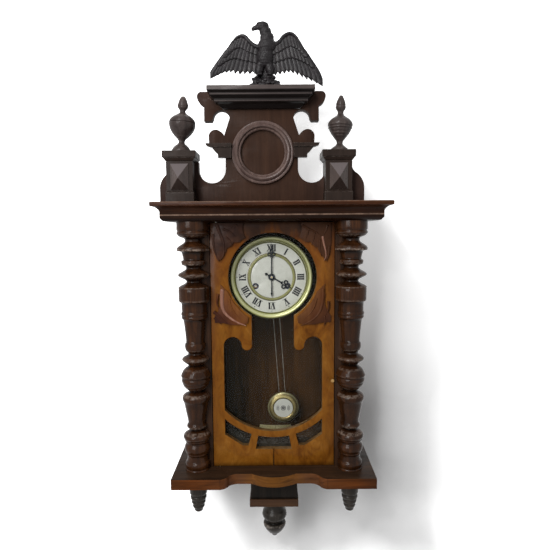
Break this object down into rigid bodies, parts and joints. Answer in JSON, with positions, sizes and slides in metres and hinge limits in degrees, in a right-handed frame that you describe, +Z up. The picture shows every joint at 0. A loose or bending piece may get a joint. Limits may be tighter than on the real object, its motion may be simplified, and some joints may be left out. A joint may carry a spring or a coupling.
{
  "type": "wall clock",
  "caption": "Spring-driven pendulum wall clock: eagle crest with urns, turned half columns, glazed pierced door, enamel dial and hanging finials.",
  "frame": {"origin": "centre of the hanging hole in the steel plate at the back, on the wall plane", "axes": "+X to the viewer's right, +Y into the wall, +Z up; the dial faces -Y"},
  "size_m": [0.467, 0.206, 1.085],
  "materials": {
    "walnut": "satin",
    "cornice_wood": "satin",
    "shelf_wood": "satin",
    "ebonised_wood": "satin",
    "burr_veneer": "gloss",
    "carved_wood": "satin",
    "back_wood": "satin",
    "eagle_wood": "satin",
    "enamel": "gloss",
    "brass": "polished",
    "blued_steel": "satin",
    "steel": "satin",
    "iron": "matte",
    "glass": "clear",
    "scale_enamel": "gloss"
  },
  "bodies": {
    "case": {"backboard": "back_wood", "hanger_plate": "steel", "case_sides": "walnut", "case_top_board": "walnut", "face_frame": "walnut", "cornice": "cornice_wood", "base_shelf": "shelf_wood", "pendant_box": "ebonised_wood", "pendant_plate": "ebonised_wood", "pendant_finial": "ebonised_wood", "drop_finials": "ebonised_wood", "column_left": "walnut", "column_right": "walnut", "crest_board": "walnut", "crest_roundel": "walnut", "crest_ledges": "walnut", "crest_pedestals": "walnut", "pedestal_caps": "walnut", "urn_finials": "walnut", "crest_cap": "walnut", "eagle": "eagle_wood", "pivot_sockets": "brass", "dial_pan": "brass", "dial_bezel": "brass", "chapter_ring": "enamel", "centre_ring": "brass", "centre_disc": "enamel", "front_plate": "brass", "back_plate": "brass", "movement_pillars": "brass", "movement_brackets": "iron", "suspension_cock": "brass", "gong": "blued_steel", "beat_scale": "scale_enamel"},
    "door": {"door_frame": "burr_veneer", "door_pivots": "steel", "door_glass": "glass", "glass_beads": "walnut", "door_carvings": "carved_wood"},
    "latch": {"door_latch": "brass"},
    "hour_hand_group": {"hour_hand": "blued_steel", "hour_wheel": "brass"},
    "minute_hand_group": {"cannon_pinion": "steel", "minute_hand": "blued_steel"},
    "centre_wheel_group": {"centre_wheel": "brass"},
    "minute_wheel_group": {"minute_wheel": "brass"},
    "time_barrel_group": {"time_barrel": "brass"},
    "strike_barrel_group": {"strike_barrel": "brass"},
    "time_arbor_group": {"time_winding_arbor": "steel"},
    "strike_arbor_group": {"strike_winding_arbor": "steel"},
    "second_wheel_group": {"second_wheel": "brass"},
    "third_wheel_group": {"third_wheel": "brass"},
    "escape_wheel_group": {"escape_wheel": "brass"},
    "anchor_group": {"anchor": "steel"},
    "pendulum": {"suspension_spring": "steel", "pendulum_rods": "steel", "pendulum_bob": "brass", "bob_disc": "enamel"},
    "rating_nut_group": {"rating_nut": "brass"},
    "hammer": {"strike_hammer": "steel"}
  },
  "joints": [
    {"name": "door_hinge", "type": "hinge", "parent": "case", "child": "door", "pos_m": [-0.1125, -0.146, -0.26], "axis": [0, 0, -1], "range_deg": [0, 82]},
    {"name": "latch_turn", "type": "hinge", "parent": "door", "child": "latch", "pos_m": [0.1205, -0.15, -0.329], "axis": [0, 1, 0], "range_deg": [0, 90]},
    {"name": "minute_turn", "type": "hinge", "parent": "case", "child": "minute_hand_group", "pos_m": [-0.002, -0.112, -0.12], "axis": [0, 1, 0], "continuous": true},
    {"name": "centre_wheel_turn", "type": "hinge", "parent": "case", "child": "centre_wheel_group", "pos_m": [-0.002, -0.08, -0.12], "axis": [0, 1, 0], "continuous": true},
    {"name": "hour_turn", "type": "hinge", "parent": "case", "child": "hour_hand_group", "pos_m": [-0.002, -0.112, -0.12], "axis": [0, 1, 0], "continuous": true},
    {"name": "minute_wheel_turn", "type": "hinge", "parent": "case", "child": "minute_wheel_group", "pos_m": [-0.002, -0.108, -0.138], "axis": [0, 1, 0], "continuous": true},
    {"name": "time_barrel_turn", "type": "hinge", "parent": "case", "child": "time_barrel_group", "pos_m": [0.0315, -0.08, -0.139], "axis": [0, 1, 0], "continuous": true},
    {"name": "strike_barrel_turn", "type": "hinge", "parent": "case", "child": "strike_barrel_group", "pos_m": [-0.0355, -0.08, -0.139], "axis": [0, 1, 0], "continuous": true},
    {"name": "time_winding", "type": "hinge", "parent": "case", "child": "time_arbor_group", "pos_m": [0.0315, -0.08, -0.139], "axis": [0, 1, 0], "continuous": true},
    {"name": "strike_winding", "type": "hinge", "parent": "case", "child": "strike_arbor_group", "pos_m": [-0.0355, -0.08, -0.139], "axis": [0, 1, 0], "continuous": true},
    {"name": "second_wheel_turn", "type": "hinge", "parent": "case", "child": "second_wheel_group", "pos_m": [-0.00289, -0.08, -0.14548], "axis": [0, 1, 0], "continuous": true},
    {"name": "third_wheel_turn", "type": "hinge", "parent": "case", "child": "third_wheel_group", "pos_m": [-0.0204, -0.08, -0.10603], "axis": [0, 1, 0], "continuous": true},
    {"name": "escape_wheel_turn", "type": "hinge", "parent": "case", "child": "escape_wheel_group", "pos_m": [-0.002, -0.08, -0.095], "axis": [0, 1, 0], "continuous": true},
    {"name": "pendulum_swing", "type": "hinge", "parent": "case", "child": "pendulum", "pos_m": [-0.002, -0.046, -0.074], "axis": [0, 1, 0], "range_deg": [-0.6, 8.4]},
    {"name": "anchor_swing", "type": "hinge", "parent": "case", "child": "anchor_group", "pos_m": [-0.002, -0.08, -0.074], "axis": [0, 1, 0], "range_deg": [-0.6, 8.4]},
    {"name": "rating_nut_turn", "type": "hinge", "parent": "pendulum", "child": "rating_nut_group", "pos_m": [0.02262, -0.046, -0.43516], "axis": [-0.068, 0, 0.9977], "range_deg": [-180, 180]},
    {"name": "hammer_lift", "type": "hinge", "parent": "case", "child": "hammer", "pos_m": [-0.042, -0.055, -0.076], "axis": [0, 1, 0], "range_deg": [0, 18]}
  ],
  "couplings": [
    {"joint": "third_wheel_turn", "follows": "escape_wheel_turn", "ratio": -0.1},
    {"joint": "centre_wheel_turn", "follows": "escape_wheel_turn", "ratio": 0.01},
    {"joint": "second_wheel_turn", "follows": "escape_wheel_turn", "ratio": -0.0013333},
    {"joint": "time_barrel_turn", "follows": "escape_wheel_turn", "ratio": 0.00022222},
    {"joint": "minute_wheel_turn", "follows": "minute_turn", "ratio": -0.33333},
    {"joint": "hour_turn", "follows": "minute_turn", "ratio": 0.083333},
    {"joint": "anchor_swing", "follows": "pendulum_swing", "ratio": 1}
  ]
}
